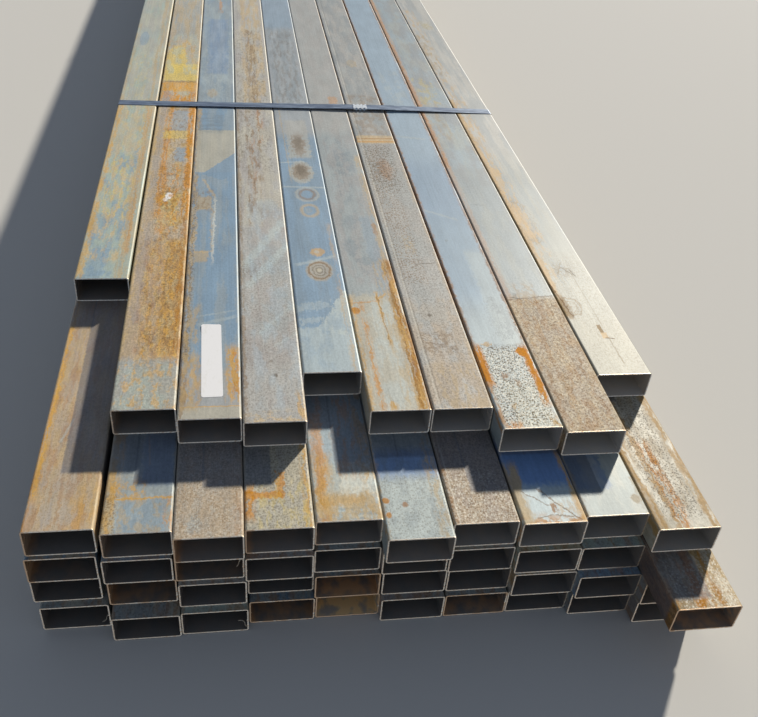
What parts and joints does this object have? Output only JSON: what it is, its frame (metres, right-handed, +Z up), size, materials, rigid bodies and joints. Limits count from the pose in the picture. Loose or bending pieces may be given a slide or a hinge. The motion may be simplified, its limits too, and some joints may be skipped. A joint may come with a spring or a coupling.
{
  "type": "strapped bundle of rectangular steel tubes",
  "caption": "Stack of long rectangular mill-finish steel tubes with staggered ends, held in a block by flat steel straps with crimped seals.",
  "frame": {"origin": "middle of the bounding box, at floor level under the straps", "axes": "+Y along the tubes away from the staggered ends, +X to the right as those ends are faced, +Z up"},
  "size_m": [1.04, 6.85, 0.2639],
  "materials": {
    "mill_steel": "matte",
    "strap_steel": "satin",
    "seal_steel": "satin"
  },
  "bodies": {
    "root": {"tube_r1_c01": "mill_steel", "tube_r1_c02": "mill_steel", "tube_r1_c03": "mill_steel", "tube_r1_c04": "mill_steel", "tube_r1_c05": "mill_steel", "tube_r1_c06": "mill_steel", "tube_r1_c07": "mill_steel", "tube_r1_c08": "mill_steel", "tube_r1_c09": "mill_steel", "tube_r1_c10": "mill_steel", "tube_r2_c01": "mill_steel", "tube_r2_c02": "mill_steel", "tube_r2_c03": "mill_steel", "tube_r2_c04": "mill_steel", "tube_r2_c05": "mill_steel", "tube_r2_c06": "mill_steel", "tube_r2_c07": "mill_steel", "tube_r2_c08": "mill_steel", "tube_r2_c09": "mill_steel", "tube_r2_c10": "mill_steel", "tube_r3_c01": "mill_steel", "tube_r3_c02": "mill_steel", "tube_r3_c03": "mill_steel", "tube_r3_c04": "mill_steel", "tube_r3_c05": "mill_steel", "tube_r3_c06": "mill_steel", "tube_r3_c07": "mill_steel", "tube_r3_c08": "mill_steel", "tube_r3_c09": "mill_steel", "tube_r3_c10": "mill_steel", "tube_r4_c01": "mill_steel", "tube_r4_c02": "mill_steel", "tube_r4_c03": "mill_steel", "tube_r4_c04": "mill_steel", "tube_r4_c05": "mill_steel", "tube_r4_c06": "mill_steel", "tube_r4_c07": "mill_steel", "tube_r4_c08": "mill_steel", "tube_r4_c09": "mill_steel", "tube_r4_c10": "mill_steel", "tube_r5_c01": "mill_steel", "tube_r5_c02": "mill_steel", "tube_r5_c03": "mill_steel", "tube_r5_c04": "mill_steel", "tube_r5_c05": "mill_steel", "tube_r5_c06": "mill_steel", "tube_r5_c07": "mill_steel", "tube_r5_c08": "mill_steel", "tube_r5_c09": "mill_steel", "tube_r5_c10": "mill_steel", "strap_front": "strap_steel", "strap_middle": "strap_steel", "strap_rear": "strap_steel", "seal_front": "seal_steel", "seal_middle": "seal_steel", "seal_rear": "seal_steel"}
  },
  "joints": []
}
